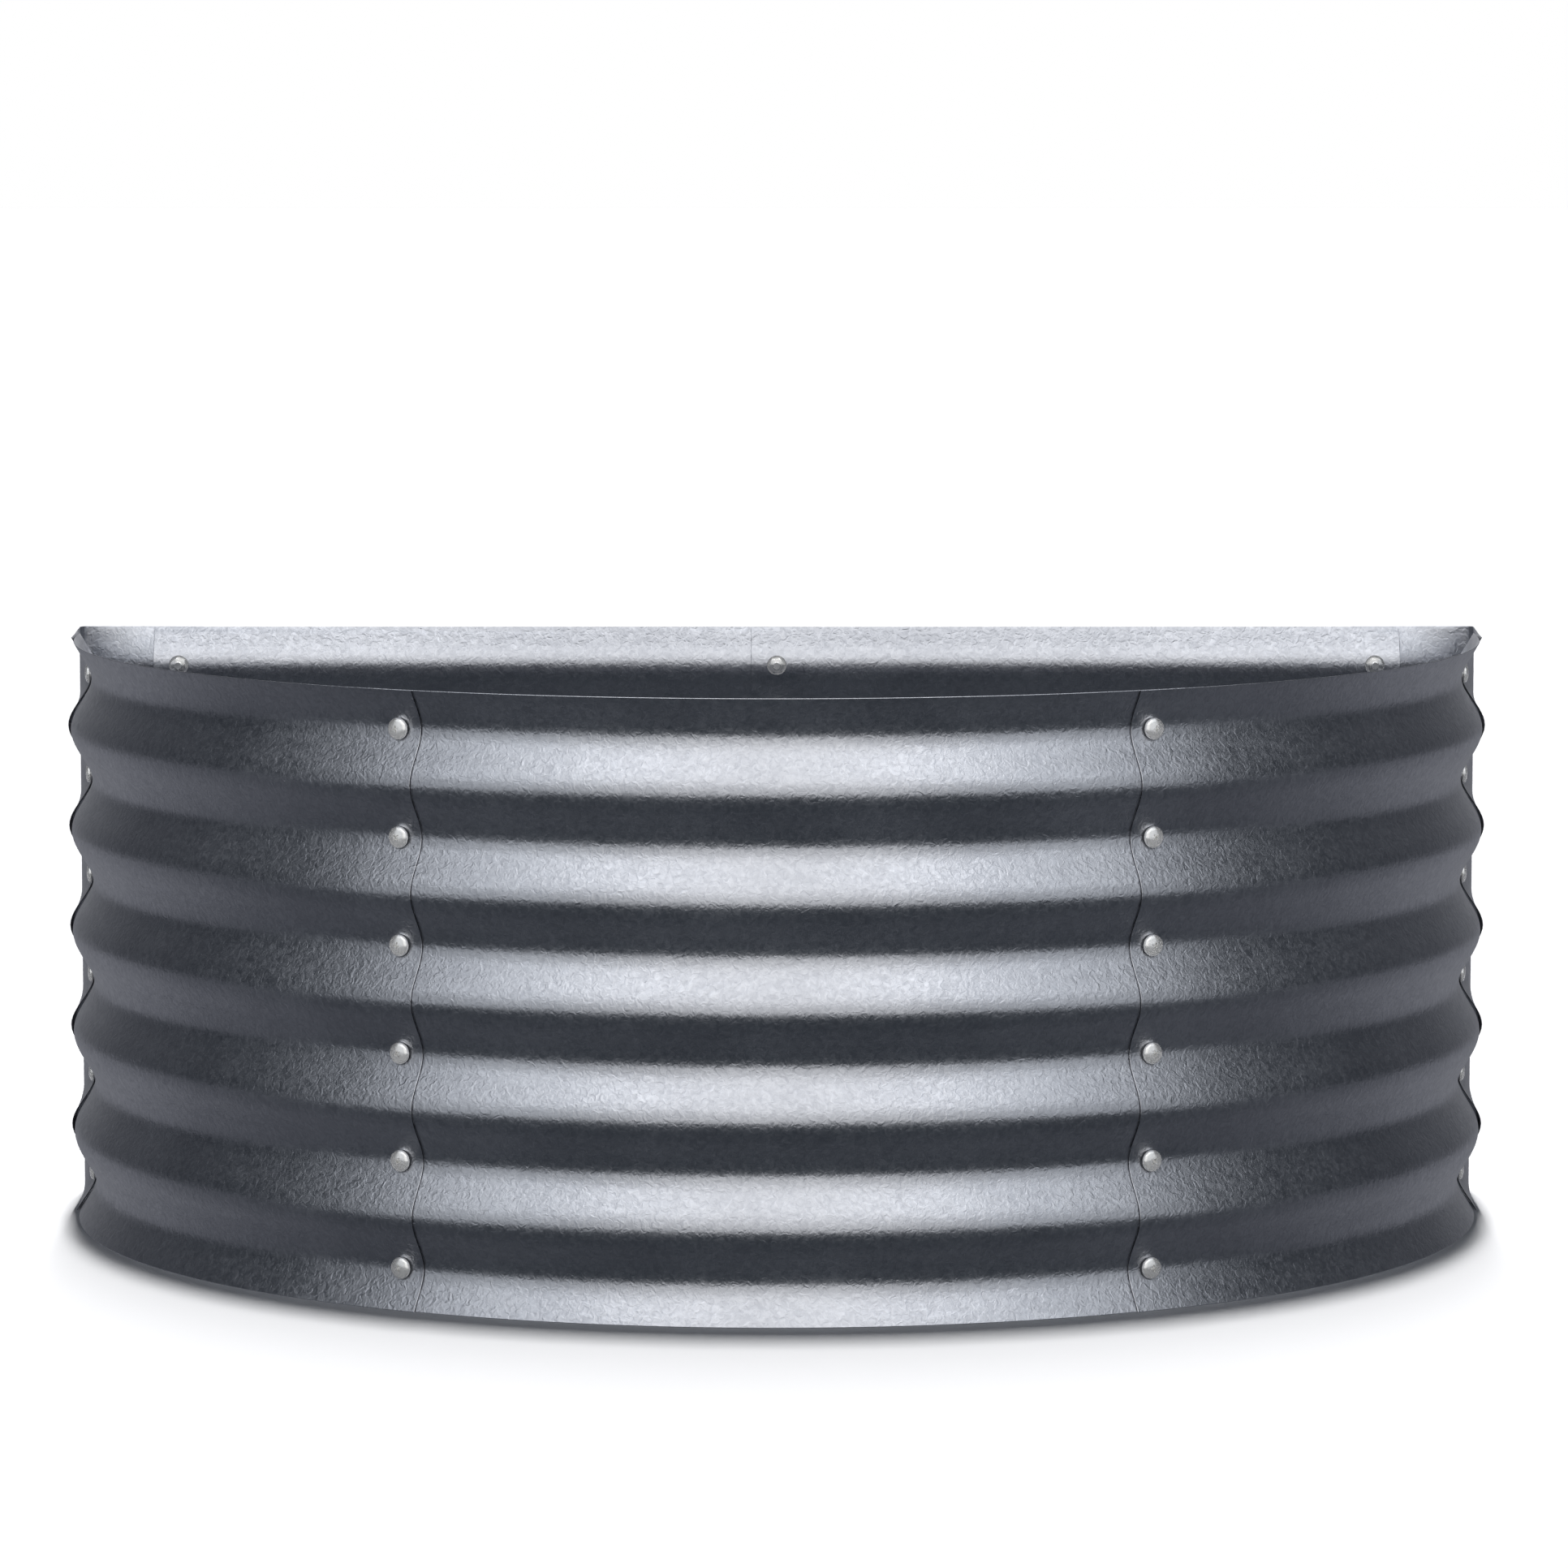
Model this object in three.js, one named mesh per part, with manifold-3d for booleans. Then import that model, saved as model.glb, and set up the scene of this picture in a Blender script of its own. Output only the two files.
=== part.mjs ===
// A half-round raised garden bed of corrugated galvanised sheet, open at the top and the bottom.
// Three curved panels make the front, two straight ones the flat back, and a corner piece, whose waves
// are pressed flat at its bend, joins them at each side. Every seam is a lap with one bolt in each groove.
// Millimetres, +Z up. The front faces -Y, and the origin is the bottom centre of the bed.

import * as THREE from 'three';
import { mergeVertices } from 'three/addons/utils/BufferGeometryUtils.js';
import Module from 'manifold-3d';

const wasm = await Module();
wasm.setup();

// Driving dimensions of the bed.
const bedWidth = 1000; // over the outer faces of the two corner pieces
const straightDepth = 82; // from the centre of the half circle to the outer face of the back
const frontPanelArc = 61; // degrees between the two seams of the front panel

// The corrugated sheet. Its grooves hold the bolts, and its edges flare out towards the next ridge.
const sheetThickness = 0.8;
const wavePitch = 71;
const waveDepth = 14.8; // from the bottom of a groove to the top of a ridge
const grooveCount = 6;
const edgeToGroove = 26.5; // from the top or bottom edge to the nearest groove

// The laps: how far each sheet reaches past its line of bolts, and the gap between nested sheets.
const outerLap = 16.4;
const innerLap = 18;
const lapClearance = 0.3;

// The corner pieces.
const cornerBendRadius = 2;
const cornerWaveExtra = 1.6; // how much deeper their waves are, so that they stand off the panels at the ridges
const pressedFrom = 4; // from a line of bolts to where the waves begin to be pressed flat
const cornerToBackSeam = 72; // from the outer face of a corner piece to its bolts in the back

// The fasteners: a domed bolt outside, with its washer and hexagon nut inside.
const boltDiameter = 6;
const headDiameter = 14.4;
const headHeight = 3.6;
const domeShoulder = 0.72; // share of the head's radius and height at which its dome turns over
const holeClearance = 0.6; // round the bolt, on its radius
const washerDiameter = 14;
const washerThickness = 1.2;
const nutAcrossFlats = 10;
const nutHeight = 4.8;
const seatClearance = 0.3;

// How finely curves are faceted.
const arcStep = 10.5; // degrees
const bendSteps = 2;
const roundSides = 8;
const holeSides = 6;
const waveLevels = [0, 0.1, 0.4, 0.5, 0.6, 0.9]; // shares of a wave pitch, counted from a groove

// Sizes that follow from these.
const bedHeight = (grooveCount - 1) * wavePitch + 2 * edgeToGroove;
const steepestSlope = (Math.PI * waveDepth) / wavePitch;
const layerStep = sheetThickness * Math.hypot(1, steepestSlope) + lapClearance;
const cornerLayer = 2; // the corner pieces lie outside the side panels, which lie outside the front one
const cornerReach = cornerLayer * layerStep + cornerWaveExtra + sheetThickness / 2;
const ridgeRadius = bedWidth / 2 - cornerReach;
const backRidge = straightDepth - cornerReach;

// Distances along the ridge line, from the middle of the front round to the middle of the back.
const frontSeam = ridgeRadius * THREE.MathUtils.degToRad(frontPanelArc / 2);
const sideSeam = (ridgeRadius * Math.PI) / 2;
const bendStart = sideSeam + backRidge - cornerBendRadius;
const bendEnd = bendStart + (cornerBendRadius * Math.PI) / 2;
const backSeam = bendEnd + cornerToBackSeam - cornerReach - cornerBendRadius;
const middleSeam = bendEnd + ridgeRadius - cornerBendRadius;

// A point on the ridge line of the innermost sheet, with its outward normal. side is 1 on the right
// and -1 on the left, where everything is mirrored.
function ridgePoint(distance, side) {
  const bendCentre = new THREE.Vector2(ridgeRadius - cornerBendRadius, backRidge - cornerBendRadius);
  let point;
  let normal;
  if (distance <= sideSeam) {
    const angle = distance / ridgeRadius - Math.PI / 2;
    normal = new THREE.Vector2(Math.cos(angle), Math.sin(angle));
    point = normal.clone().multiplyScalar(ridgeRadius);
  } else if (distance <= bendStart) {
    normal = new THREE.Vector2(1, 0);
    point = new THREE.Vector2(ridgeRadius, distance - sideSeam);
  } else if (distance <= bendEnd) {
    const angle = (distance - bendStart) / cornerBendRadius;
    normal = new THREE.Vector2(Math.cos(angle), Math.sin(angle));
    point = bendCentre.clone().addScaledVector(normal, cornerBendRadius);
  } else {
    normal = new THREE.Vector2(0, 1);
    point = new THREE.Vector2(bendCentre.x - (distance - bendEnd), backRidge);
  }
  point.x *= side;
  normal.x *= side;
  return { point, normal };
}

// How much of the wave's depth is left in a corner piece: all of it at its two lines of bolts, and
// none at its bend.
function unpressedShare(distance) {
  const legStart = sideSeam + pressedFrom;
  const legEnd = backSeam - pressedFrom;
  const fromFront = (bendStart - distance) / (bendStart - legStart);
  const fromBack = (distance - bendEnd) / (legEnd - bendEnd);
  return THREE.MathUtils.clamp(Math.max(fromFront, fromBack), 0, 1);
}

// How far the sheet's middle lies inside its ridge line at a height, and how steep it is there.
function waveAt(height, depth) {
  const angle = (2 * Math.PI * (height - edgeToGroove)) / wavePitch;
  return {
    inward: (depth * (1 + Math.cos(angle))) / 2,
    slope: ((Math.PI * depth) / wavePitch) * Math.sin(angle),
  };
}

// The heights at which a sheet has its rows of points: both edges, and fixed shares of each wave.
function sheetLevels() {
  const levels = [0];
  for (let wave = -1; wave < grooveCount; wave++) {
    for (const share of waveLevels) {
      const height = edgeToGroove + (wave + share) * wavePitch;
      const roomForFacet = wavePitch / 12;
      if (height > roomForFacet && height < bedHeight - roomForFacet) {
        levels.push(height);
      }
    }
  }
  levels.push(bedHeight);
  return levels;
}

// The places along the ridge line at which sheets have their columns of points. Nested sheets share
// them, so that their facets stay parallel, and one flat facet spans the lap at each line of bolts.
function sheetStations() {
  const stations = [sideSeam + pressedFrom, backSeam - pressedFrom, backSeam + innerLap, middleSeam - innerLap];
  const addEvenly = (from, to, count) => {
    for (let i = 0; i <= count; i++) {
      stations.push(from + ((to - from) * i) / count);
    }
  };
  const facetLength = ridgeRadius * THREE.MathUtils.degToRad(arcStep);
  const facetsBetween = (from, to) => Math.max(1, Math.round((to - from) / facetLength));
  const frontEnd = frontSeam - outerLap;
  const sideStart = frontSeam + innerLap;
  const sideEnd = sideSeam - outerLap;
  addEvenly(0, frontEnd, facetsBetween(0, frontEnd));
  addEvenly(sideStart, sideEnd, facetsBetween(sideStart, sideEnd));
  addEvenly(bendStart, bendEnd, bendSteps);
  return stations.sort((a, b) => a - b);
}

// The stations between two signed distances, with those two at its ends. Left of the middle of the
// front, distances are negative.
function stationsBetween(from, to) {
  const oneSide = sheetStations();
  const bothSides = [...oneSide, ...oneSide.map((station) => -station)].sort((a, b) => a - b);
  const closest = 0.01;
  const inside = [from];
  for (const station of bothSides) {
    if (station > inside[inside.length - 1] + closest && station < to - closest) {
      inside.push(station);
    }
  }
  inside.push(to);
  return inside;
}

// A closed solid from any three.js geometry, for cutting and joining.
function solidFrom(geometry) {
  const bare = geometry.clone();
  bare.deleteAttribute('normal');
  bare.deleteAttribute('uv');
  const mergeDistance = 1e-4;
  const merged = mergeVertices(bare, mergeDistance);
  const triangles = [];
  for (let i = 0; i < merged.index.count; i += 3) {
    const corners = [0, 1, 2].map((k) => merged.index.getX(i + k));
    if (new Set(corners).size === 3) {
      triangles.push(...corners);
    }
  }
  const vertProperties = new Float32Array(merged.attributes.position.array);
  return new wasm.Manifold(new wasm.Mesh({ numProp: 3, vertProperties, triVerts: new Uint32Array(triangles) }));
}

function geometryFrom(solid) {
  const mesh = solid.getMesh();
  const geometry = new THREE.BufferGeometry();
  geometry.setAttribute('position', new THREE.BufferAttribute(new Float32Array(mesh.vertProperties), 3));
  geometry.setIndex(new THREE.BufferAttribute(new Uint32Array(mesh.triVerts), 1));
  geometry.computeVertexNormals();
  return geometry;
}

// One corrugated sheet as a closed skin: its outer and inner faces, and its four cut edges.
// from and to are signed distances, and layerAt says how many sheets lie under it.
function sheetGeometry({ from, to, layerAt, pressed = false }) {
  const stations = stationsBetween(from, to);
  const levels = sheetLevels();
  const standOff = pressed ? cornerWaveExtra : 0;
  const positions = [];
  const indices = [];
  for (const faceSide of [1, -1]) {
    for (const station of stations) {
      const distance = Math.abs(station);
      const { point, normal } = ridgePoint(distance, station < 0 ? -1 : 1);
      const depth = (waveDepth + standOff) * (pressed ? unpressedShare(distance) : 1);
      for (const height of levels) {
        const { inward, slope } = waveAt(height, depth);
        const halfWall = (sheetThickness / 2) * Math.hypot(1, slope);
        const outward = layerAt(distance) * layerStep + standOff - inward + faceSide * halfWall;
        positions.push(point.x + normal.x * outward, point.y + normal.y * outward, height);
      }
    }
  }
  const rows = levels.length;
  const columns = stations.length;
  const outer = (column, row) => column * rows + row;
  const inner = (column, row) => (columns + column) * rows + row;
  const quad = (a, b, c, d) => indices.push(a, b, c, a, c, d);
  for (let column = 0; column < columns - 1; column++) {
    for (let row = 0; row < rows - 1; row++) {
      quad(outer(column, row), outer(column + 1, row), outer(column + 1, row + 1), outer(column, row + 1));
      quad(inner(column, row), inner(column, row + 1), inner(column + 1, row + 1), inner(column + 1, row));
    }
    quad(outer(column, 0), inner(column, 0), inner(column + 1, 0), outer(column + 1, 0));
    const top = rows - 1;
    quad(outer(column, top), outer(column + 1, top), inner(column + 1, top), inner(column, top));
  }
  const last = columns - 1;
  for (let row = 0; row < rows - 1; row++) {
    quad(outer(0, row), outer(0, row + 1), inner(0, row + 1), inner(0, row));
    quad(outer(last, row), inner(last, row), inner(last, row + 1), outer(last, row + 1));
  }
  const geometry = new THREE.BufferGeometry();
  geometry.setAttribute('position', new THREE.Float32BufferAttribute(positions, 3));
  geometry.setIndex(indices);
  return geometry;
}

// Where a fastener goes: on its seam's line, square to the sheet, in the bottom of a groove.
function placeAtSeam(object, seam) {
  const { point, normal } = ridgePoint(seam.distance, seam.side);
  object.position.set(point.x, point.y, 0);
  object.rotation.z = Math.atan2(-normal.x, normal.y);
  object.updateMatrix();
}

const grooveHeights = Array.from({ length: grooveCount }, (_, groove) => edgeToGroove + groove * wavePitch);

// The six bolt holes of one seam, as round cutters that point out of the sheet.
function seamCutters(seam) {
  const holeRadius = boltDiameter / 2 + holeClearance;
  const seamFrame = new THREE.Object3D();
  placeAtSeam(seamFrame, seam);
  return grooveHeights.map((height) => {
    const cutter = new THREE.CylinderGeometry(holeRadius, holeRadius, 2 * waveDepth, holeSides);
    cutter.rotateY(Math.PI / holeSides);
    cutter.translate(0, -waveDepth, height);
    cutter.applyMatrix4(seamFrame.matrix);
    return solidFrom(cutter);
  });
}

// A bolt with its washer and nut, run up tight. Its +Y points out of the bed, and y = 0 lies on the
// ridge line. outerLayer and innerLayer are the two sheets that it clamps.
function fastenerGeometry({ outerLayer, innerLayer }) {
  const grooveFace = (layer, faceSide) => layer * layerStep - waveDepth + (faceSide * sheetThickness) / 2;
  const outerDepth = waveDepth + (outerLayer === cornerLayer ? cornerWaveExtra : 0);
  const rise = outerDepth - waveAt(edgeToGroove + headDiameter / 2, outerDepth).inward;
  const underHead = grooveFace(outerLayer, 1) + rise + seatClearance;
  const washerFace = grooveFace(innerLayer, -1) - seatClearance;
  const nutFace = washerFace - washerThickness;
  const nutEnd = nutFace - nutHeight;
  const shank = boltDiameter / 2;
  const profile = [
    [0, nutFace],
    [washerDiameter / 2, nutFace],
    [washerDiameter / 2, washerFace],
    [shank, washerFace],
    [shank, underHead],
    [headDiameter / 2, underHead],
    [(domeShoulder * headDiameter) / 2, underHead + domeShoulder * headHeight],
    [0, underHead + headHeight],
  ].map(([radius, y]) => new THREE.Vector2(radius, y));
  const bolt = new THREE.LatheGeometry(profile, roundSides);
  const acrossCorners = nutAcrossFlats / Math.cos(Math.PI / 6);
  const sunk = washerThickness / 2;
  const nut = new THREE.CylinderGeometry(acrossCorners / 2, acrossCorners / 2, nutHeight + sunk, 6);
  nut.translate(0, (nutFace + sunk + nutEnd) / 2, 0);
  return geometryFrom(solidFrom(bolt).add(solidFrom(nut)));
}

const galvanised = new THREE.MeshStandardMaterial({ color: 0x8e9299, roughness: 0.42, metalness: 0.9 });
const plated = new THREE.MeshStandardMaterial({ color: 0xc4c5c8, roughness: 0.25, metalness: 1 });

// The sheets' layers: the front panel is innermost, the corner pieces outermost. The right back panel
// runs under the left one at the middle of the back, so it draws in by one layer on its way there.
const frontLayer = () => 0;
const sideLayer = () => 1;
const cornerLayerAt = () => cornerLayer;
const drawnInLayer = (distance) => {
  const straightFrom = backSeam + innerLap;
  const straightTo = middleSeam - innerLap;
  return 1 - THREE.MathUtils.clamp((distance - straightFrom) / (straightTo - straightFrom), 0, 1);
};

const seams = [
  { name: 'middle_seam', distance: middleSeam, side: 1, outerLayer: 1, innerLayer: 0 },
];
for (const [word, side] of [['left', -1], ['right', 1]]) {
  seams.push(
    { name: `front_seam_${word}`, distance: frontSeam, side, outerLayer: 1, innerLayer: 0 },
    { name: `side_seam_${word}`, distance: sideSeam, side, outerLayer: cornerLayer, innerLayer: 1 },
    { name: `back_seam_${word}`, distance: backSeam, side, outerLayer: cornerLayer, innerLayer: 1 },
  );
}

// A sheet of the right side, or its mirror image on the left.
function handed(word, sheet) {
  if (word === 'right') {
    return sheet;
  }
  return { ...sheet, from: -sheet.to, to: -sheet.from };
}

const sheets = [
  {
    name: 'front_panel',
    from: -frontSeam - innerLap,
    to: frontSeam + innerLap,
    layerAt: frontLayer,
    seamNames: ['front_seam_left', 'front_seam_right'],
  },
];
for (const word of ['left', 'right']) {
  sheets.push(
    handed(word, {
      name: `side_panel_${word}`,
      from: frontSeam - outerLap,
      to: sideSeam + innerLap,
      layerAt: sideLayer,
      seamNames: [`front_seam_${word}`, `side_seam_${word}`],
    }),
    handed(word, {
      name: `corner_piece_${word}`,
      from: sideSeam - outerLap,
      to: backSeam + outerLap,
      layerAt: cornerLayerAt,
      pressed: true,
      seamNames: [`side_seam_${word}`, `back_seam_${word}`],
    }),
    handed(word, {
      name: `back_panel_${word}`,
      from: backSeam - innerLap,
      to: middleSeam + (word === 'left' ? outerLap : innerLap),
      layerAt: word === 'left' ? sideLayer : drawnInLayer,
      seamNames: [`back_seam_${word}`, 'middle_seam'],
    }),
  );
}

const bed = new THREE.Group();

for (const sheet of sheets) {
  let solid = solidFrom(sheetGeometry(sheet));
  for (const seam of seams.filter(({ name }) => sheet.seamNames.includes(name))) {
    for (const cutter of seamCutters(seam)) {
      solid = solid.subtract(cutter);
    }
  }
  const mesh = new THREE.Mesh(geometryFrom(solid), galvanised);
  mesh.name = sheet.name;
  bed.add(mesh);
}

for (const seam of seams) {
  const fastener = fastenerGeometry(seam);
  const line = new THREE.Group();
  placeAtSeam(line, seam);
  grooveHeights.forEach((height, groove) => {
    const mesh = new THREE.Mesh(fastener, plated);
    mesh.name = `${seam.name}_bolt_${groove + 1}`;
    mesh.position.z = height;
    line.add(mesh);
  });
  bed.add(line);
}

// The half circle's centre moves back, so that the origin is midway between the front and the back.
bed.position.y = (ridgeRadius + sheetThickness / 2 - straightDepth) / 2;

export default bed;
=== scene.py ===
# A half-round raised garden bed of corrugated galvanised sheet, bolted together from seven sheets.
# Metres, +Z up. The round front faces -Y and the flat back +Y. The script builds the sheets in the order
# in which the bed is put together, then the bolts of its seven seams.

import math

import bmesh
import bpy
from mathutils import Matrix, Vector


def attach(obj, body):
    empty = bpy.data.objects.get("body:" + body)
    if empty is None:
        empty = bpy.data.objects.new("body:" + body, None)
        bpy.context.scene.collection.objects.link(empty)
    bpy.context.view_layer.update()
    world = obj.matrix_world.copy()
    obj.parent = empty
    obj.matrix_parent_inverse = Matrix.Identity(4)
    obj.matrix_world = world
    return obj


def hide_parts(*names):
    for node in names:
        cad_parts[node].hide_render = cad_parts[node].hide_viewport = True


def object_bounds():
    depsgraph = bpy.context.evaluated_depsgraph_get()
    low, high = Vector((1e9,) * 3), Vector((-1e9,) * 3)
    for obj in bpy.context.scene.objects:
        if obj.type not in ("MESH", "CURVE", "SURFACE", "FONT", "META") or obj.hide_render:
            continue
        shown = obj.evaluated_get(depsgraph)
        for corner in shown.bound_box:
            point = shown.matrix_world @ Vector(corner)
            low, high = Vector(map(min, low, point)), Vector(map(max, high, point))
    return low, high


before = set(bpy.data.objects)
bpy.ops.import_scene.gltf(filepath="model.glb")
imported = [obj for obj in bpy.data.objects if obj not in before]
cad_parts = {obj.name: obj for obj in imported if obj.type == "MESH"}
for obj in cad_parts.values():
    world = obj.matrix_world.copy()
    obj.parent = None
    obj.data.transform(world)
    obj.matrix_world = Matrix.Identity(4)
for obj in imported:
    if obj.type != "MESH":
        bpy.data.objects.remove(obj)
cad_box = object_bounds()
bed_high = cad_box[1]


# The studio: a long lens 5 m away looks 5.9 degrees down on the bed, which stands on a pale floor.
# Six soft boxes and the tones of the room show in the metal, as bright and dark bands. Two narrow strips
# high above and a little behind light the floor, and give the bed its soft shadow towards the lens.

photo_side = 1932
focal_pixels = 9004
camera_drop = 0.1023
bed_centre_in_photo = 956.9
straight_depth = 0.082
arc_centre_y = bed_high.y - straight_depth
camera_distance = 5.149
camera_height = 0.831
off_centre = (photo_side / 2 - bed_centre_in_photo) * camera_distance / focal_pixels

camera_data = bpy.data.cameras.new("camera")
camera_data.sensor_width = 36
camera_data.lens = camera_data.sensor_width * focal_pixels / photo_side
camera = bpy.data.objects.new("camera", camera_data)
camera.location = (off_centre, arc_centre_y - camera_distance, camera_height)
camera.rotation_euler = (math.pi / 2 - camera_drop, 0, 0)
bpy.context.scene.collection.objects.link(camera)
bpy.context.scene.camera = camera
bpy.context.scene.view_settings.view_transform = "Standard"

floor_side = 60
bpy.ops.object.select_all(action="DESELECT")
bpy.ops.mesh.primitive_plane_add(size=floor_side)
floor = bpy.context.active_object
floor.name = "studio_floor"
floor.visible_glossy = False
floor.visible_shadow = False
floor_material = bpy.data.materials.new("pale_floor")
floor_material.use_nodes = True
floor_shader = floor_material.node_tree.nodes["Principled BSDF"]
floor_shader.inputs["Base Color"].default_value = (0.85, 0.85, 0.86, 1)
floor_shader.inputs["Roughness"].default_value = 1
floor_shader.inputs["Specular IOR Level"].default_value = 0
floor.data.materials.append(floor_material)


def add_softbox(name, size, location, target, radiance, tint):
    """A rectangle of even light, seen in the metal only."""
    light_data = bpy.data.lights.new(name, "AREA")
    light_data.color = tint
    light_data.shape = "RECTANGLE"
    light_data.size, light_data.size_y = size
    light_data.energy = radiance * math.pi * size[0] * size[1]
    light = bpy.data.objects.new(name, light_data)
    light.location = location
    aim = Vector(target) - Vector(location)
    light.rotation_euler = aim.to_track_quat("-Z", "Y").to_euler()
    light.visible_camera = False
    light.visible_diffuse = False
    bpy.context.scene.collection.objects.link(light)


softbox_distance = 3.4
level_aim, raised_aim = 1.2, 0.2
pure_white = (1, 1, 1)
cool_white = (0.92, 0.955, 1)
for name, around, up, size, radiance, tint in (
    ("front_softbox", 0, 0, (3.4, 2.7), 0.80, pure_white),
    ("left_softbox", -48, 0, (2.3, 2.7), 0.53, cool_white),
    ("right_softbox", 48, 0, (2.3, 2.7), 0.56, cool_white),
    ("upper_softbox", 0, 52, (3.0, 2.4), 1.14, pure_white),
    ("upper_left_softbox", -50, 50, (2.2, 2.4), 0.86, cool_white),
    ("upper_right_softbox", 50, 50, (2.2, 2.4), 0.86, cool_white),
):
    around, up = math.radians(around), math.radians(up)
    ahead = Vector((math.sin(around) * math.cos(up), -math.cos(around) * math.cos(up), math.sin(up)))
    aimed_at = Vector((0, 0, level_aim if up == 0 else raised_aim))
    add_softbox(name, size, aimed_at + softbox_distance * ahead, aimed_at, radiance, tint)

# The strips are so far away that the floor's tone is even. Their leans are in degrees behind upright.
strip_height = 400
strip_half_width = strip_height * math.tan(math.radians(1.2))
for name, near_lean, far_lean, light_on_floor in (
    ("key_strip", 3, 11.3, 2.85),
    ("fill_strip", 11.3, 41, 0.95),
):
    near, far = (strip_height * math.tan(math.radians(lean)) for lean in (near_lean, far_lean))
    strip_data = bpy.data.lights.new(name, "AREA")
    strip_data.shape = "RECTANGLE"
    strip_data.size, strip_data.size_y = 2 * strip_half_width, far - near
    middle_lean = math.atan2(near + far, 2 * strip_height)
    strip_data.energy = light_on_floor * math.pi * strip_height**2 / math.cos(middle_lean) ** 4
    strip = bpy.data.objects.new(name, strip_data)
    strip.location = (0, (near + far) / 2, strip_height)
    strip.visible_camera = False
    strip.visible_glossy = False
    bpy.context.scene.collection.objects.link(strip)

# A level fill from the front. It brightens the bolts, and neither the floor nor the sheets show it.
sun_data = bpy.data.lights.new("front_fill", "SUN")
sun_data.energy = 2.3
sun_data.angle = math.radians(10)
sun = bpy.data.objects.new("front_fill", sun_data)
sun.rotation_euler.x = math.pi / 2
sun.visible_glossy = False
bpy.context.scene.collection.objects.link(sun)

# The room: white to the lens, and in the metal a tone for each direction. The tones run from the front of
# the room to its back, in one row above the horizon and another below it.
world = bpy.data.worlds.new("studio")
world.use_nodes = True
bpy.context.scene.world = world
world_nodes, world_links = world.node_tree.nodes, world.node_tree.links
backdrop = world_nodes["Background"]
direction = world_nodes.new("ShaderNodeTexCoord")
split = world_nodes.new("ShaderNodeSeparateXYZ")
world_links.new(direction.outputs["Generated"], split.inputs["Vector"])
behind = world_nodes.new("ShaderNodeMapRange")
behind.inputs["From Min"].default_value = -1
world_links.new(split.outputs["Y"], behind.inputs["Value"])
below = world_nodes.new("ShaderNodeMapRange")
below.inputs["From Min"].default_value = 0.02
below.inputs["From Max"].default_value = -0.12
world_links.new(split.outputs["Z"], below.inputs["Value"])


def room_tones(stops):
    """One row of tones, at their places from the front of the room, 0, to its back, 1."""
    ramp = world_nodes.new("ShaderNodeValToRGB")
    while len(ramp.color_ramp.elements) < len(stops):
        ramp.color_ramp.elements.new(0.5)
    for element, (position, tone) in zip(ramp.color_ramp.elements, stops):
        element.position = position
        element.color = (*tone, 1)
    world_links.new(behind.outputs["Result"], ramp.inputs["Fac"])
    return ramp.outputs["Color"]


upper_room = room_tones([
    (0, (0.025, 0.030, 0.036)),
    (0.6, (0.028, 0.033, 0.041)),
    (0.88, (0.074, 0.077, 0.088)),
    (0.97, (0.23, 0.235, 0.25)),
    (0.985, (0.30, 0.305, 0.32)),
    (1, (1.4, 1.4, 1.43)),
])
lower_room = room_tones([
    (0, (0.034, 0.041, 0.050)),
    (0.35, (0.044, 0.050, 0.060)),
    (0.64, (0.098, 0.102, 0.118)),
    (0.9, (0.24, 0.245, 0.27)),
    (1, (0.27, 0.275, 0.295)),
])
room = world_nodes.new("ShaderNodeMix")
room.data_type = "RGBA"
world_links.new(below.outputs["Result"], room.inputs["Factor"])
world_links.new(upper_room, room.inputs["A"])
world_links.new(lower_room, room.inputs["B"])
light_path = world_nodes.new("ShaderNodeLightPath")
shade = world_nodes.new("ShaderNodeMix")
shade.data_type = "RGBA"
shade.inputs["B"].default_value = (1, 1, 1, 1)
world_links.new(room.outputs["Result"], shade.inputs["A"])
world_links.new(light_path.outputs["Is Camera Ray"], shade.inputs["Factor"])
world_links.new(shade.outputs["Result"], backdrop.inputs["Color"])


# The front panel: one sheet of corrugated steel, hot-dip galvanised and rolled to 61 degrees of arc.
# Its six grooves run round the bed, and its top and bottom edges are cut where the wave flares out.

sheet_thickness = 0.0008
wave_pitch = 0.071
wave_depth = 0.0148
groove_count = 6
edge_to_groove = 0.0265
wave_low = edge_to_groove - wave_pitch / 2

# Where sheets lap, each lies one layer step outside the one below: its gauge, measured level through the
# steepest slope of the wave, and a clearance. The corner pieces' waves are also a little deeper.
lap_clearance = 0.0003
layer_step = sheet_thickness * math.hypot(1, math.pi * wave_depth / wave_pitch) + lap_clearance
corner_wave_extra = 0.0016
corner_layer = 2
corner_reach = corner_layer * layer_step + corner_wave_extra + sheet_thickness / 2
ridge_radius = bed_high.x - corner_reach
bed_height = bed_high.z

outer_lap = 0.0164
inner_lap = 0.018
front_seam_angle = math.radians(30.5)
steps_per_wave = 24
arc_step = math.radians(1.2)
arc_centre = Vector((0, arc_centre_y, 0))
blank_width = 0.01
weld_distance = 1e-5


def select_where(piece, test):
    """Selects, in edit mode, the vertices whose places pass the test, and all that lies between them."""
    bpy.ops.mesh.select_all(action="DESELECT")
    bpy.context.tool_settings.mesh_select_mode = (True, False, False)
    mesh = bmesh.from_edit_mesh(piece.data)
    for vertex in mesh.verts:
        vertex.select = test(vertex.co)
    mesh.select_flush(True)
    bmesh.update_edit_mesh(piece.data)


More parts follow.
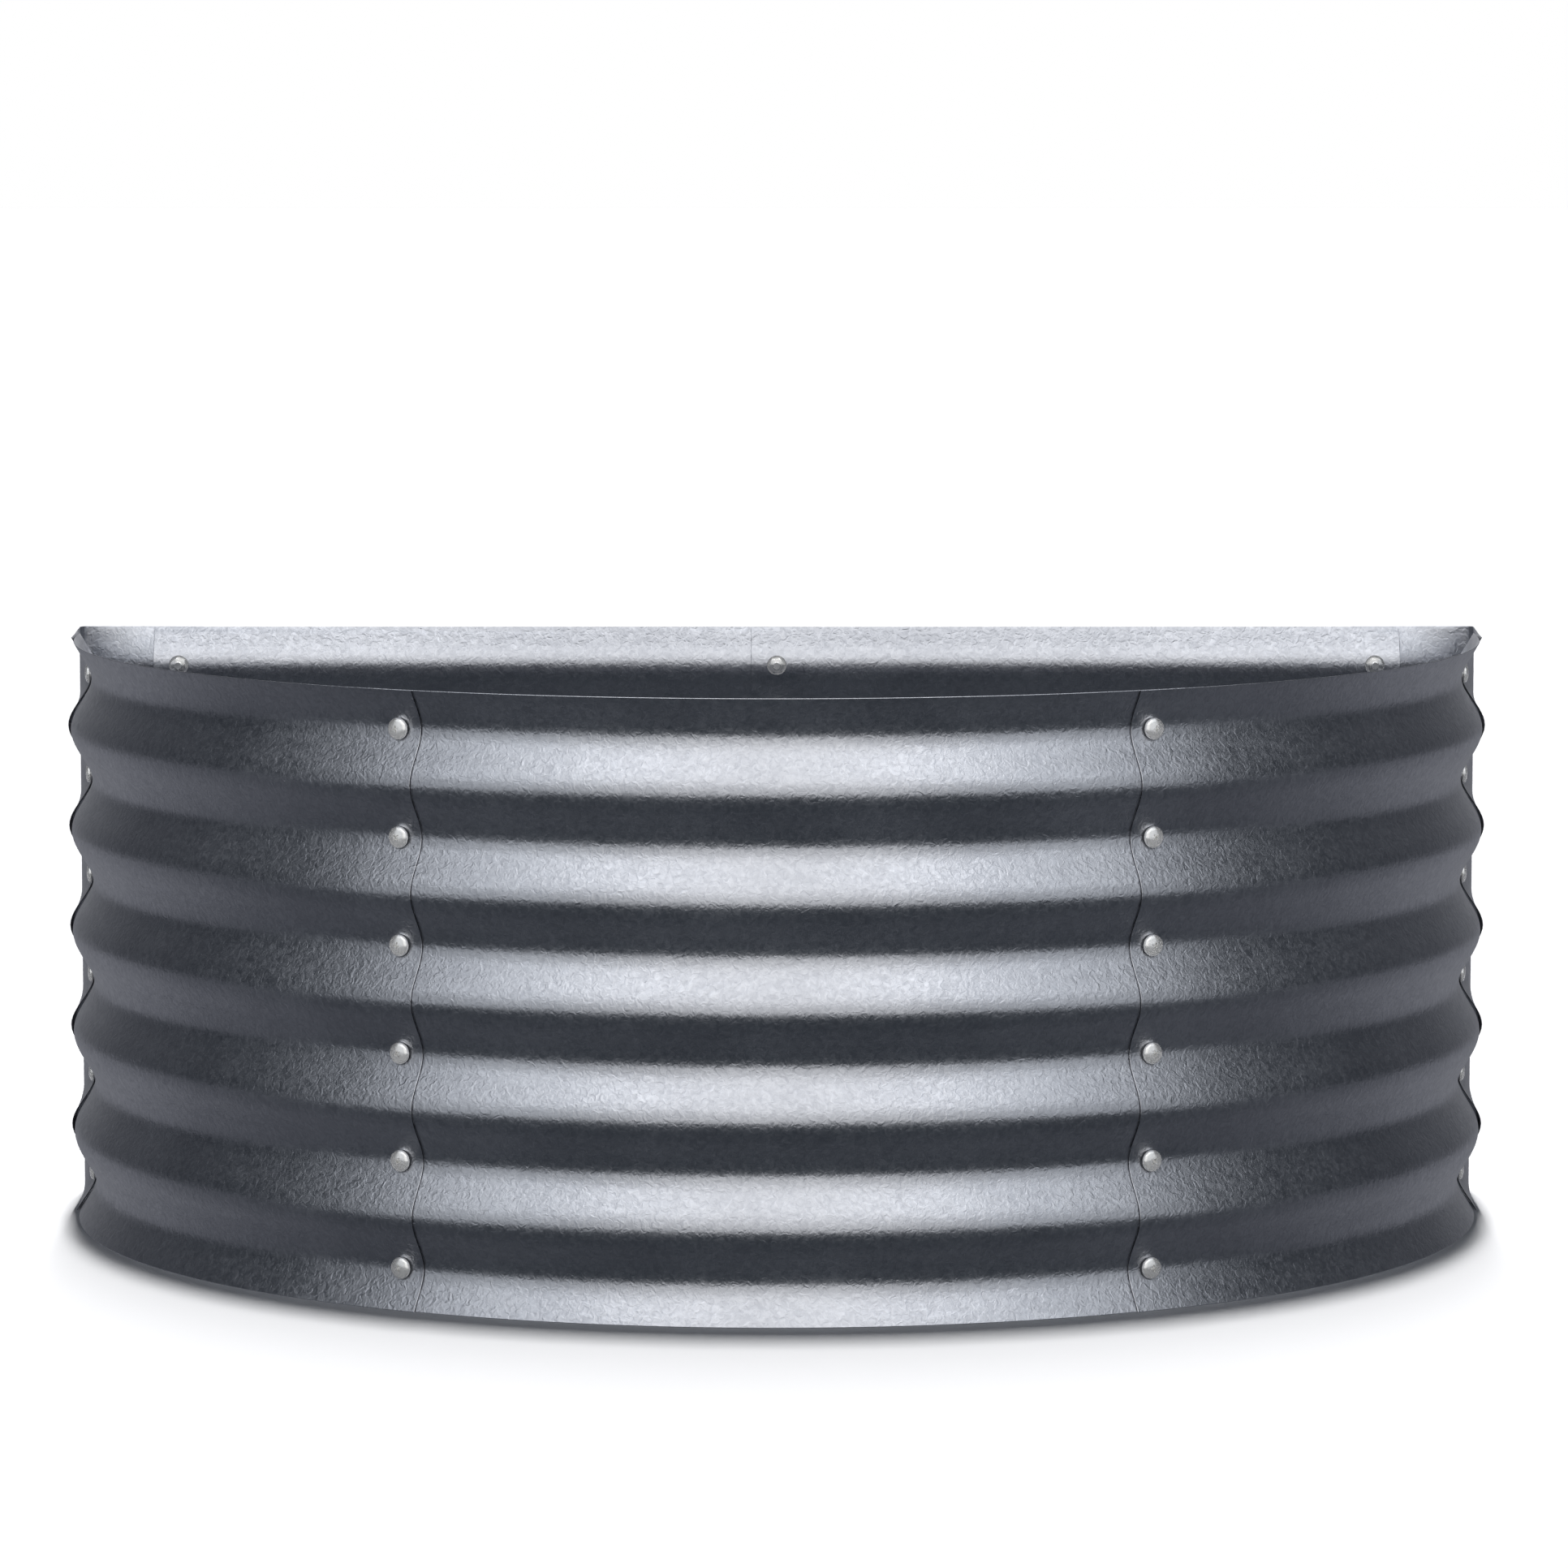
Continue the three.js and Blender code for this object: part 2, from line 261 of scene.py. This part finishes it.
def start_sheet(name, layer, centre, radius, turn, deeper=0):
    """The wave of a sheet's end, as one upright line at a radius from a centre. It faces -Y and is then
    turned about that centre. Edit mode is left on, with the line selected, ready to be drawn out."""
    line_height = groove_count * wave_pitch
    bpy.ops.object.select_all(action="DESELECT")
    bpy.ops.mesh.primitive_grid_add(
        x_subdivisions=1,
        y_subdivisions=groove_count * steps_per_wave,
        size=1,
        location=(0, 0, wave_low + line_height / 2),
        rotation=(math.pi / 2, 0, 0),
    )
    piece = bpy.context.active_object
    piece.name = name
    piece.data.name = name
    piece.scale = (blank_width, line_height, 1)
    bpy.ops.object.transform_apply(location=True, rotation=True, scale=True)
    bpy.ops.object.mode_set(mode="EDIT")
    select_where(piece, lambda place: place.x > 0)
    bpy.ops.mesh.delete(type="VERT")
    bpy.ops.mesh.select_all(action="SELECT")
    groove_y = -(radius + layer * layer_step - wave_depth)
    bpy.ops.transform.translate(value=(blank_width / 2, groove_y, 0))

    def on_ridge(place):
        waves_up = (place.z - wave_low) / wave_pitch
        return abs(waves_up - round(waves_up)) * steps_per_wave < 0.25

    select_where(piece, on_ridge)
    bpy.ops.transform.translate(
        value=(0, -wave_depth - deeper, 0),
        use_proportional_edit=True,
        proportional_edit_falloff="SMOOTH",
        proportional_size=wave_pitch / 2,
    )
    bpy.ops.object.mode_set(mode="OBJECT")
    piece.location = centre
    piece.rotation_euler.z = turn
    bpy.ops.object.transform_apply(location=True, rotation=True, scale=True)
    bpy.ops.object.mode_set(mode="EDIT")
    bpy.ops.mesh.select_all(action="SELECT")
    return piece


def roll(angle, centre):
    """Carries the selected line round an upright axis."""
    steps = max(1, round(abs(angle) / arc_step))
    bpy.ops.mesh.spin(steps=steps, angle=angle, center=centre, axis=(0, 0, -1))


def draw_out(x, y):
    """Carries the selected line straight on."""
    bpy.ops.mesh.extrude_region_move(TRANSFORM_OT_translate={"value": (x, y, 0)})


def trim_sheet():
    """Cuts the sheet to its height, top and bottom, and turns its faces one way."""
    for height, side in ((0, -1), (bed_height, 1)):
        bpy.ops.mesh.select_all(action="SELECT")
        bpy.ops.mesh.bisect(plane_co=(0, 0, height), plane_no=(0, 0, side), clear_outer=True)
    bpy.ops.mesh.select_all(action="SELECT")
    bpy.ops.mesh.remove_doubles(threshold=weld_distance)
    bpy.ops.mesh.normals_make_consistent(inside=False)
    bpy.ops.object.mode_set(mode="OBJECT")


edge_chamfer = 0.00015
edge_chamfer_depth = 0.0003
level_edge = 0.7
sheet_shading = math.radians(20)


def thicken_sheet(piece):
    """Gives the skin its gauge. Its top and bottom edges are made level, all its edges get a small chamfer,
    and its two ends are bare steel between their chamfers, coloured near-black as painted shade for the gap
    where one sheet laps over another."""
    piece.data.materials.append(galvanised)
    piece.data.materials.append(lap_shade)
    wall = piece.modifiers.new("wall", "SOLIDIFY")
    wall.thickness = sheet_thickness
    wall.offset = 0
    wall.use_even_offset = True
    wall.material_offset_rim = 1
    bpy.ops.object.modifier_apply(modifier=wall.name)
    bpy.ops.object.mode_set(mode="EDIT")
    for height, side in ((0, 1), (bed_height, -1)):
        select_where(piece, lambda place: abs(place.z - height) < sheet_thickness / 2)
        shoulder = (0, 0, height + side * edge_chamfer_depth)
        bpy.ops.transform.resize(value=(1, 1, 0), center_override=shoulder)
    bpy.ops.mesh.select_all(action="DESELECT")
    bpy.context.tool_settings.mesh_select_mode = (False, False, True)
    piece.active_material_index = 1
    bpy.ops.object.material_slot_select()
    piece.active_material_index = 0
    bpy.ops.object.material_slot_assign()
    bpy.ops.mesh.inset(thickness=edge_chamfer, depth=edge_chamfer_depth)
    mesh = bmesh.from_edit_mesh(piece.data)
    # The upright end faces get the near-black painted shade of the laps. The level top and bottom edges
    # stay galvanised.
    for face in mesh.faces:
        if face.select and abs(face.normal.z) < level_edge:
            face.material_index = 1
    bmesh.update_edit_mesh(piece.data)
    for height in (0, bed_height):
        select_where(piece, lambda place: abs(place.z - height) < edge_chamfer_depth / 2)
        bpy.ops.transform.resize(value=(1, 1, 0), center_override=(0, 0, height))
    bpy.ops.object.mode_set(mode="OBJECT")
    bpy.ops.object.shade_smooth_by_angle(angle=sheet_shading)


def grain_group():
    """The grain of a metal face: blotches that are also a shallow relief. All three finishes have it."""
    group = bpy.data.node_groups.new("metal_grain", "ShaderNodeTree")
    group.interface.new_socket("Place", in_out="INPUT", socket_type="NodeSocketVector")
    for value_name in ("Scale", "Detail", "Curl", "Relief"):
        group.interface.new_socket(value_name, in_out="INPUT", socket_type="NodeSocketFloat")
    group.interface.new_socket("Blotches", in_out="OUTPUT", socket_type="NodeSocketColor")
    group.interface.new_socket("Mask", in_out="OUTPUT", socket_type="NodeSocketFloat")
    group.interface.new_socket("Normal", in_out="OUTPUT", socket_type="NodeSocketVector")
    entry = group.nodes.new("NodeGroupInput")
    exit_node = group.nodes.new("NodeGroupOutput")
    blotch = group.nodes.new("ShaderNodeTexNoise")
    group.links.new(entry.outputs["Place"], blotch.inputs["Vector"])
    group.links.new(entry.outputs["Scale"], blotch.inputs["Scale"])
    group.links.new(entry.outputs["Detail"], blotch.inputs["Detail"])
    group.links.new(entry.outputs["Curl"], blotch.inputs["Distortion"])
    hollow = group.nodes.new("ShaderNodeBump")
    group.links.new(entry.outputs["Relief"], hollow.inputs["Distance"])
    group.links.new(blotch.outputs["Fac"], hollow.inputs["Height"])
    group.links.new(blotch.outputs["Color"], exit_node.inputs["Blotches"])
    group.links.new(blotch.outputs["Fac"], exit_node.inputs["Mask"])
    group.links.new(hollow.outputs["Normal"], exit_node.inputs["Normal"])
    return group


metal_grain = grain_group()


def add_grain(material, place, scale, detail, curl, relief):
    """Places the metal grain in a material, with its own values."""
    grain = material.node_tree.nodes.new("ShaderNodeGroup")
    grain.node_tree = metal_grain
    material.node_tree.links.new(place.outputs["Object"], grain.inputs["Place"])
    grain.inputs["Scale"].default_value = scale
    grain.inputs["Detail"].default_value = detail
    grain.inputs["Curl"].default_value = curl
    grain.inputs["Relief"].default_value = relief
    return grain


def galvanised_material():
    material = bpy.data.materials.new("galvanised_sheet")
    material.use_nodes = True
    nodes, links = material.node_tree.nodes, material.node_tree.links
    shader = nodes["Principled BSDF"]
    shader.inputs["Metallic"].default_value = 1
    place = nodes.new("ShaderNodeTexCoord")

    # The spangle: curled flakes of zinc, two or three millimetres wide, each leaning its own way.
    flakes = add_grain(material, place, scale=250, detail=1.7, curl=1.0, relief=0.00035)
    shade = nodes.new("ShaderNodeSeparateColor")
    links.new(flakes.outputs["Blotches"], shade.inputs["Color"])

    # Clouds, a hand wide, from the zinc bath.
    cloud = nodes.new("ShaderNodeTexNoise")
    cloud.inputs["Scale"].default_value = 14
    cloud.inputs["Detail"].default_value = 4
    links.new(place.outputs["Object"], cloud.inputs["Vector"])

    # Fine upright lines, from the rollers.
    along = nodes.new("ShaderNodeMapping")
    along.inputs["Scale"].default_value = (700, 700, 30)
    links.new(place.outputs["Object"], along.inputs["Vector"])
    lines = nodes.new("ShaderNodeTexNoise")
    lines.inputs["Scale"].default_value = 1
    lines.inputs["Detail"].default_value = 2
    links.new(along.outputs["Vector"], lines.inputs["Vector"])

    tone = nodes.new("ShaderNodeValToRGB")
    tone.color_ramp.elements[0].position = 0.37
    tone.color_ramp.elements[0].color = (0.525, 0.535, 0.572, 1)
    tone.color_ramp.elements[1].position = 0.63
    tone.color_ramp.elements[1].color = (0.65, 0.66, 0.697, 1)
    mottled = nodes.new("ShaderNodeMath")
    mottled.operation = "MULTIPLY_ADD"
    mottled.inputs[1].default_value = 0.6
    links.new(shade.outputs["Red"], mottled.inputs[0])
    patchy = nodes.new("ShaderNodeMath")
    patchy.operation = "MULTIPLY"
    patchy.inputs[1].default_value = 0.4
    links.new(cloud.outputs["Fac"], patchy.inputs[0])
    links.new(patchy.outputs["Value"], mottled.inputs[2])
    links.new(mottled.outputs["Value"], tone.inputs["Fac"])
    links.new(tone.outputs["Color"], shader.inputs["Base Color"])

    matt = nodes.new("ShaderNodeMapRange")
    matt.inputs["From Min"].default_value = 0.3
    matt.inputs["From Max"].default_value = 0.7
    matt.inputs["To Min"].default_value = 0.23
    matt.inputs["To Max"].default_value = 0.35
    links.new(shade.outputs["Green"], matt.inputs["Value"])
    clouded = nodes.new("ShaderNodeMath")
    clouded.operation = "MULTIPLY_ADD"
    clouded.inputs[1].default_value = 0.08
    links.new(cloud.outputs["Fac"], clouded.inputs[0])
    links.new(matt.outputs["Result"], clouded.inputs[2])
    lined = nodes.new("ShaderNodeMath")
    lined.operation = "MULTIPLY_ADD"
    lined.inputs[1].default_value = 0.06
    links.new(lines.outputs["Fac"], lined.inputs[0])
    links.new(clouded.outputs["Value"], lined.inputs[2])
    links.new(lined.outputs["Value"], shader.inputs["Roughness"])

    rolled = nodes.new("ShaderNodeBump")
    rolled.inputs["Distance"].default_value = 0.00004
    links.new(lines.outputs["Fac"], rolled.inputs["Height"])
    links.new(flakes.outputs["Normal"], rolled.inputs["Normal"])
    links.new(rolled.outputs["Normal"], shader.inputs["Normal"])
    return material


# The cut ends of the sheets are bare steel, coloured near-black. This is painted shade that stands in for
# the shadow in the gap where one sheet laps over another.
def lap_shade_material():
    material = bpy.data.materials.new("bare_edge_lap_shade")
    material.use_nodes = True
    nodes, links = material.node_tree.nodes, material.node_tree.links
    shader = nodes["Principled BSDF"]
    shader.inputs["Metallic"].default_value = 1
    shader.inputs["Base Color"].default_value = (0.06, 0.06, 0.065, 1)
    shader.inputs["Roughness"].default_value = 0.45
    place = nodes.new("ShaderNodeTexCoord")
    burr = add_grain(material, place, scale=900, detail=2, curl=0, relief=0.0001)
    links.new(burr.outputs["Normal"], shader.inputs["Normal"])
    return material


galvanised = galvanised_material()
lap_shade = lap_shade_material()


def finish_sheet(piece, node):
    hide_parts(node)
    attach(piece, "root")


half_front = front_seam_angle + inner_lap / ridge_radius
front_sheet = start_sheet("front_sheet", 0, arc_centre, ridge_radius, -half_front)
roll(2 * half_front, arc_centre)
trim_sheet()
thicken_sheet(front_sheet)
finish_sheet(front_sheet, "front_panel")


# The side panels: two more sheets of the same sort, each 59.5 degrees of arc.
# They lap outside the front panel, and run on a little way straight under the corner pieces.

def pick(piece):
    """Selects one piece alone, and makes it the active one."""
    bpy.ops.object.select_all(action="DESELECT")
    piece.select_set(True)
    bpy.context.view_layer.objects.active = piece


def mirrored(piece, name):
    """A copy of a sheet's skin on the other side of the bed."""
    copy = piece.copy()
    copy.data = piece.data.copy()
    copy.name = name
    copy.data.name = name
    bpy.context.scene.collection.objects.link(copy)
    pick(copy)
    copy.scale.x = -1
    bpy.ops.object.transform_apply(location=True, rotation=True, scale=True)
    bpy.ops.object.mode_set(mode="EDIT")
    bpy.ops.mesh.select_all(action="SELECT")
    bpy.ops.mesh.normals_make_consistent(inside=False)
    bpy.ops.object.mode_set(mode="OBJECT")
    return copy


side_layer = 1
side_start = front_seam_angle - outer_lap / ridge_radius
side_right = start_sheet("side_sheet_right", side_layer, arc_centre, ridge_radius, side_start)
roll(math.pi / 2 - side_start, arc_centre)
draw_out(0, inner_lap)
trim_sheet()
side_left = mirrored(side_right, "side_sheet_left")
for piece, node in ((side_right, "side_panel_right"), (side_left, "side_panel_left")):
    pick(piece)
    thicken_sheet(piece)
    finish_sheet(piece, node)


# The corner pieces: short sheets whose waves are pressed flat towards one sharp upright bend.
# One leg laps outside the side panel, and the other outside the back panel.

corner_bend_radius = 0.002
corner_bend_steps = 6
pressed_from = 0.004
corner_to_back_seam = 0.072
back_ridge = straight_depth - corner_reach
pressing_steps = 12
corner_outward = corner_layer * layer_step + corner_wave_extra
bend_centre = arc_centre + Vector((ridge_radius - corner_bend_radius, back_ridge - corner_bend_radius, 0))
side_leg = back_ridge - corner_bend_radius - pressed_from
back_seam_x = ridge_radius + corner_reach - corner_to_back_seam
back_leg = bend_centre.x - back_seam_x - pressed_from
ridge_face_x = ridge_radius + corner_outward
ridge_face_y = arc_centre_y + back_ridge + corner_outward


def press_flat(x, y, ridge_face):
    """Draws the selected line out in short steps, and presses its waves flat towards the ridge face."""
    for step in range(pressing_steps):
        draw_out(x / pressing_steps, y / pressing_steps)
        left = pressing_steps - step
        share = (left - 1) / left
        squeeze = (share, 1, 1) if x == 0 else (1, share, 1)
        bpy.ops.transform.resize(value=squeeze, center_override=ridge_face)


corner_start = math.pi / 2 - outer_lap / ridge_radius
corner_right = start_sheet(
    "corner_sheet_right", corner_layer, arc_centre, ridge_radius, corner_start, corner_wave_extra
)
roll(outer_lap / ridge_radius, arc_centre)
draw_out(0, pressed_from)
press_flat(0, side_leg, (ridge_face_x, 0, 0))
bpy.ops.mesh.spin(steps=corner_bend_steps, angle=math.pi / 2, center=bend_centre, axis=(0, 0, -1))
bpy.ops.object.mode_set(mode="OBJECT")
back_centre_y = arc_centre_y + back_ridge - ridge_radius
back_leg_centre = Vector((back_seam_x - outer_lap, back_centre_y, 0))
start_sheet("corner_back_leg", corner_layer, back_leg_centre, ridge_radius, math.pi, corner_wave_extra)
draw_out(outer_lap + pressed_from, 0)
press_flat(back_leg, 0, (0, ridge_face_y, 0))
bpy.ops.object.mode_set(mode="OBJECT")
corner_right.select_set(True)
bpy.context.view_layer.objects.active = corner_right
bpy.ops.object.join()
bpy.ops.object.mode_set(mode="EDIT")
trim_sheet()
corner_left = mirrored(corner_right, "corner_sheet_left")
for piece, node in ((corner_right, "corner_piece_right"), (corner_left, "corner_piece_left")):
    pick(piece)
    thicken_sheet(piece)
    finish_sheet(piece, node)


# The back panels: two straight sheets of the same sort, bolted together at the middle of the back.
# The right one draws in by one layer on its way there, because the left one laps outside it.

back_centre_right = Vector((back_seam_x + inner_lap, back_centre_y, 0))
back_right = start_sheet("back_sheet_right", side_layer, back_centre_right, ridge_radius, math.pi)
draw_out(-2 * inner_lap, 0)
draw_out(-(back_seam_x - 2 * inner_lap), -layer_step)
draw_out(-2 * inner_lap, 0)
trim_sheet()
thicken_sheet(back_right)
finish_sheet(back_right, "back_panel_right")

back_centre_left = Vector((-back_seam_x - inner_lap, back_centre_y, 0))
back_left = start_sheet("back_sheet_left", side_layer, back_centre_left, ridge_radius, math.pi)
draw_out(back_seam_x + inner_lap + outer_lap, 0)
trim_sheet()
thicken_sheet(back_left)
finish_sheet(back_left, "back_panel_left")


# The fasteners: 42 domed M6 bolts with a cross recess, each with a plain washer and a hexagon nut inside
# the bed. They are cold-headed steel, bright zinc plated, and clamp the laps in the grooves of the wave.

head_diameter = 0.0144
head_height = 0.0036
bolt_diameter = 0.006
washer_diameter = 0.014
washer_thickness = 0.0012
nut_across_flats = 0.010
nut_height = 0.0048
seat_clearance = 0.0003
bolt_end = 0.0025
thread_pitch = 0.001
recess_width = 0.0015
recess_length = 0.0066
recess_depth = 0.0022
recess_foot = 0.45
head_sides = 40
shank_sides = 20
washer_sides = 36


def head_rise(depth):
    """How far a head stands off the bottom of its groove, because its rim meets the groove's sides."""
    return depth * (1 - math.cos(math.pi * head_diameter / wave_pitch)) / 2


grip = layer_step + sheet_thickness + head_rise(wave_depth) + 2 * seat_clearance


def draw_profile(name, sides, profile):
    """A round or many-sided solid, drawn out ring by ring through its radii and heights."""
    bpy.ops.object.select_all(action="DESELECT")
    first_radius, first_height = profile[0]
    bpy.ops.mesh.primitive_circle_add(
        vertices=sides, radius=first_radius, fill_type="NGON", location=(0, 0, first_height)
    )
    solid = bpy.context.active_object
    solid.name = name
    solid.data.name = name
    bpy.ops.object.transform_apply(location=True, rotation=True, scale=True)
    bpy.ops.object.mode_set(mode="EDIT")
    bpy.ops.mesh.select_all(action="SELECT")
    last_radius, last_height = first_radius, first_height
    for radius, height in profile[1:]:
        bpy.ops.mesh.extrude_region_move(TRANSFORM_OT_translate={"value": (0, 0, height - last_height)})
        share = radius / last_radius
        bpy.ops.transform.resize(value=(share, share, 1), center_override=(0, 0, height))
        last_radius, last_height = radius, height
    bpy.ops.mesh.select_all(action="SELECT")
    bpy.ops.mesh.normals_make_consistent(inside=False)
    bpy.ops.object.mode_set(mode="OBJECT")
    return solid


def cut_with(solid, cutter, operation):
    """Cuts or trims a solid with another, which is then taken away."""
    cut = solid.modifiers.new("cut", "BOOLEAN")
    cut.operation = operation
    cut.solver = "EXACT"
    cut.object = cutter
    pick(solid)
    bpy.ops.object.modifier_apply(modifier=cut.name)
    bpy.data.objects.remove(cutter, do_unlink=True)


# The head: a rim and, above it, a crown that is a little fuller than an ellipse.
head_radius = head_diameter / 2
rim_height = 0.0008
rim_edge = 0.0002
crown_rise = head_height - rim_height
crown_rings = 10
ring_spread = 0.8
crown_fullness = 2.6
crown_roundness = 2.2
dome = [(head_radius * 0.97, 0), (head_radius, rim_edge)]
for ring in range(crown_rings):
    share = math.cos(ring / crown_rings * math.pi / 2) ** ring_spread
    rise = (1 - share**crown_fullness) ** (1 / crown_roundness)
    dome.append((head_radius * share, rim_height + crown_rise * rise))
head = draw_profile("bolt_head", head_sides, dome)

# The cross recess: two crossed blades that narrow towards their foot.
for turn in (0, math.pi / 2):
    bpy.ops.object.select_all(action="DESELECT")
    bpy.ops.mesh.primitive_cube_add(size=1, location=(0, 0, head_height))
    blade = bpy.context.active_object
    blade.scale = (recess_length, recess_width, 2 * recess_depth)
    blade.rotation_euler.z = turn
    bpy.ops.object.transform_apply(location=True, rotation=True, scale=True)
    bpy.ops.object.mode_set(mode="EDIT")
    select_where(blade, lambda place: place.z < head_height)
    bpy.ops.transform.resize(value=(recess_foot, recess_foot, 1), center_override=(0, 0, 0))
    bpy.ops.object.mode_set(mode="OBJECT")
    cut_with(head, blade, "DIFFERENCE")

# The shank: plain between the head and the nut, with turns of thread on the end that stands out.
bolt_radius = bolt_diameter / 2
washer_face = -grip
nut_face = washer_face - washer_thickness
nut_back = nut_face - nut_height
into_head = 0.0005
thread_root = bolt_radius * 0.86
thread_crest = bolt_radius * 0.98
bolt_point = bolt_radius * 0.8
shank = [(bolt_radius, into_head), (bolt_radius, nut_back)]
end = nut_back
while end > nut_back - bolt_end + thread_pitch / 2:
    shank.append((thread_root, end - thread_pitch / 4))
    shank.append((thread_crest, end - thread_pitch / 2))
    shank.append((thread_crest, end - thread_pitch * 0.6))
    shank.append((thread_root, end - thread_pitch * 0.85))
    end -= thread_pitch
shank.append((bolt_point, nut_back - bolt_end))
bolt_body = draw_profile("bolt_body", shank_sides, shank)

# The washer and the nut. The nut is a hexagon with its corners turned off at both faces.
washer_radius = washer_diameter / 2
washer_edge = 0.00015
washer = draw_profile("washer", washer_sides, [
    (washer_radius - washer_edge, washer_face),
    (washer_radius, washer_face - washer_edge),
    (washer_radius, nut_face + washer_edge),
    (washer_radius - washer_edge, nut_face),
])

nut_corner = nut_across_flats / 2 / math.cos(math.pi / 6)
nut = draw_profile("nut", 6, [(nut_corner, nut_face), (nut_corner, nut_back)])
nut_chamfer = 0.0005
nut_face_radius = nut_across_flats / 2 * 0.98
past_nut = 0.0001
turning_radius = nut_corner * 1.02
turning_sides = 48
turning = draw_profile("nut_turning", turning_sides, [
    (nut_face_radius, nut_face + past_nut),
    (turning_radius, nut_face - nut_chamfer),
    (turning_radius, nut_back + nut_chamfer),
    (nut_face_radius, nut_back - past_nut),
])
turning.rotation_euler.z = math.pi / turning_sides
bpy.ops.object.transform_apply(location=True, rotation=True, scale=True)
cut_with(nut, turning, "INTERSECT")


def plated_material():
    material = bpy.data.materials.new("plated_steel")
    material.use_nodes = True
    nodes, links = material.node_tree.nodes, material.node_tree.links
    shader = nodes["Principled BSDF"]
    shader.inputs["Metallic"].default_value = 0.78
    place = nodes.new("ShaderNodeTexCoord")
    haze = add_grain(material, place, scale=420, detail=3, curl=0, relief=0.00002)
    tone = nodes.new("ShaderNodeValToRGB")
    tone.color_ramp.elements[0].color = (0.90, 0.895, 0.88, 1)
    tone.color_ramp.elements[1].color = (0.98, 0.975, 0.96, 1)
    links.new(haze.outputs["Mask"], tone.inputs["Fac"])
    links.new(tone.outputs["Color"], shader.inputs["Base Color"])
    sheen = nodes.new("ShaderNodeMapRange")
    sheen.inputs["To Min"].default_value = 0.18
    sheen.inputs["To Max"].default_value = 0.3
    links.new(haze.outputs["Mask"], sheen.inputs["Value"])
    links.new(sheen.outputs["Result"], shader.inputs["Roughness"])
    links.new(haze.outputs["Normal"], shader.inputs["Normal"])
    return material


fastener_shading = math.radians(35)
bpy.ops.object.select_all(action="DESELECT")
for part in (head, bolt_body, washer, nut):
    part.select_set(True)
bpy.context.view_layer.objects.active = head
bpy.ops.object.join()
fastener = head
fastener.data.materials.append(plated_material())
bpy.ops.object.shade_smooth_by_angle(angle=fastener_shading)
fastener.rotation_euler.x = math.pi / 2
bpy.ops.object.transform_apply(location=True, rotation=True, scale=True)


def under_head(outer_layer):
    """How far outside the ridge line a bolt's head sits on the outer one of the two sheets it clamps."""
    depth = wave_depth + (corner_wave_extra if outer_layer == corner_layer else 0)
    return outer_layer * layer_step - wave_depth + sheet_thickness / 2 + head_rise(depth) + seat_clearance


# Each recess was left at its own angle, in degrees, when the bolts were run up tight.
turn_by_groove, turn_by_seam = 37, 11


def place_bolts(seam, place, turn):
    """Sets one bolt in each groove of a seam, its head facing -Y and then turned about the upright."""
    for groove in range(groove_count):
        bolt = fastener.copy()
        bolt.data = fastener.data.copy()
        bolt.name = bolt.data.name = f"domed_bolt_{seam}_{groove + 1}"
        bpy.context.scene.collection.objects.link(bolt)
        recess_turn = math.radians((groove * turn_by_groove + len(seam) * turn_by_seam) % 90)
        upright = Matrix.Rotation(turn, 4, "Z") @ Matrix.Rotation(recess_turn, 4, "Y")
        height = edge_to_groove + groove * wave_pitch
        bolt.matrix_world = Matrix.Translation((place.x, place.y, height)) @ upright
        pick(bolt)
        bpy.ops.object.transform_apply(location=True, rotation=True, scale=True)
        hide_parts(f"{seam}_bolt_{groove + 1}")
        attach(bolt, "root")


back_line_y = arc_centre_y + back_ridge
round_seams = (("front_seam", front_seam_angle, side_layer), ("side_seam", math.pi / 2, corner_layer))
for word, side in (("left", -1), ("right", 1)):
    for seam, angle, outer_layer in round_seams:
        reach = ridge_radius + under_head(outer_layer)
        outward = Vector((side * math.sin(angle), -math.cos(angle), 0))
        place_bolts(f"{seam}_{word}", arc_centre + outward * reach, side * angle)
    place = Vector((side * back_seam_x, back_line_y + under_head(corner_layer), 0))
    place_bolts(f"back_seam_{word}", place, math.pi)
place_bolts("middle_seam", Vector((0, back_line_y + under_head(side_layer), 0)), math.pi)
bpy.data.objects.remove(fastener, do_unlink=True)
